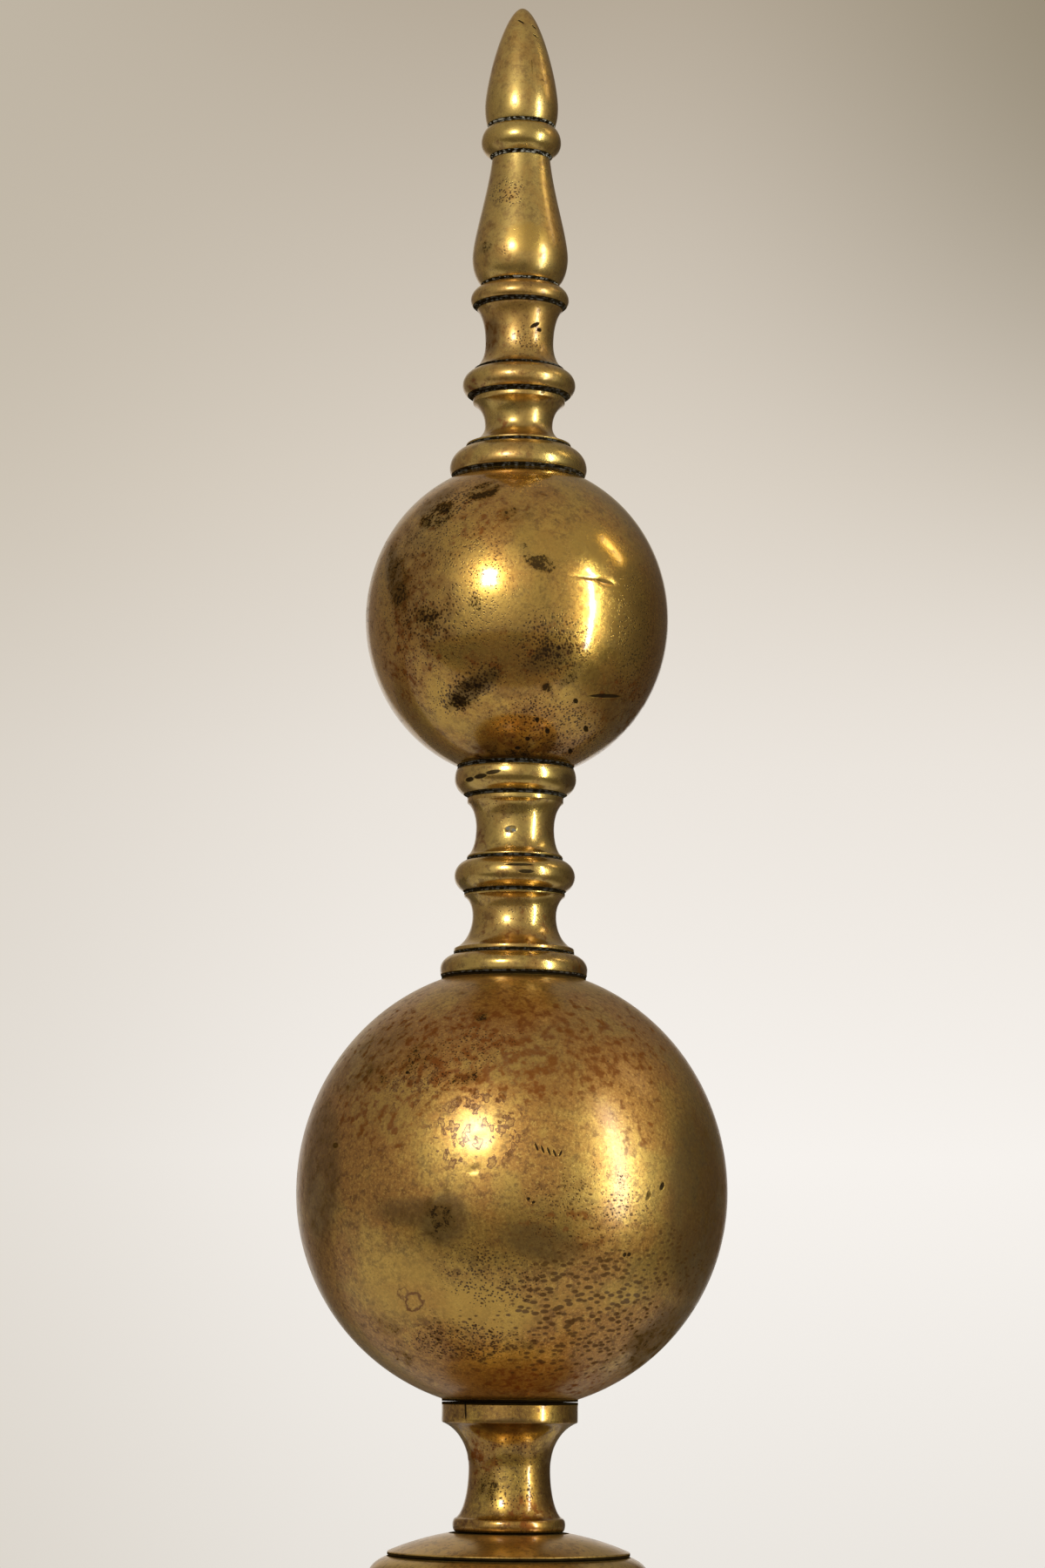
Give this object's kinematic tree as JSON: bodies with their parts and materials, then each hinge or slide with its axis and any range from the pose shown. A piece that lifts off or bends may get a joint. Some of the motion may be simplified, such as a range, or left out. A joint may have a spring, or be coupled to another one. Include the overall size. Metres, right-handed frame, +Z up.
{
  "type": "andiron",
  "caption": "Ball-and-steeple brass andiron: turned upright on an arched, spurred base, with a wrought-iron billet bar, log stop and rear leg.",
  "frame": {"origin": "on the floor, at the middle of the outline seen from above", "axes": "+Z up, +Y back along the billet bar, -Y the front that faces the room, +X to the right seen from the front"},
  "size_m": [0.2998, 0.5256, 0.6961],
  "materials": {
    "aged_brass": "aged satin brass with brown stains",
    "wrought_iron": "blackened, hammered"
  },
  "bodies": {
    "root": {"finial_spire": "aged_brass", "finial_bead": "aged_brass", "finial_vase": "aged_brass", "finial_top_collar": "aged_brass", "finial_upper_spool": "aged_brass", "finial_middle_collar": "aged_brass", "finial_lower_spool": "aged_brass", "finial_base_collar": "aged_brass", "upper_ball": "aged_brass", "stem_top_collar": "aged_brass", "stem_upper_spool": "aged_brass", "stem_middle_collar": "aged_brass", "stem_lower_spool": "aged_brass", "stem_base_collar": "aged_brass", "lower_ball": "aged_brass", "neck": "aged_brass", "socle_dome": "aged_brass", "socle_ring": "aged_brass", "socle_drum": "aged_brass", "arched_base": "aged_brass", "tie_rod": "wrought_iron", "tie_rod_washer": "wrought_iron", "tie_rod_nut": "wrought_iron", "billet_bar": "wrought_iron", "rear_leg": "wrought_iron", "log_stop": "wrought_iron"}
  },
  "joints": []
}
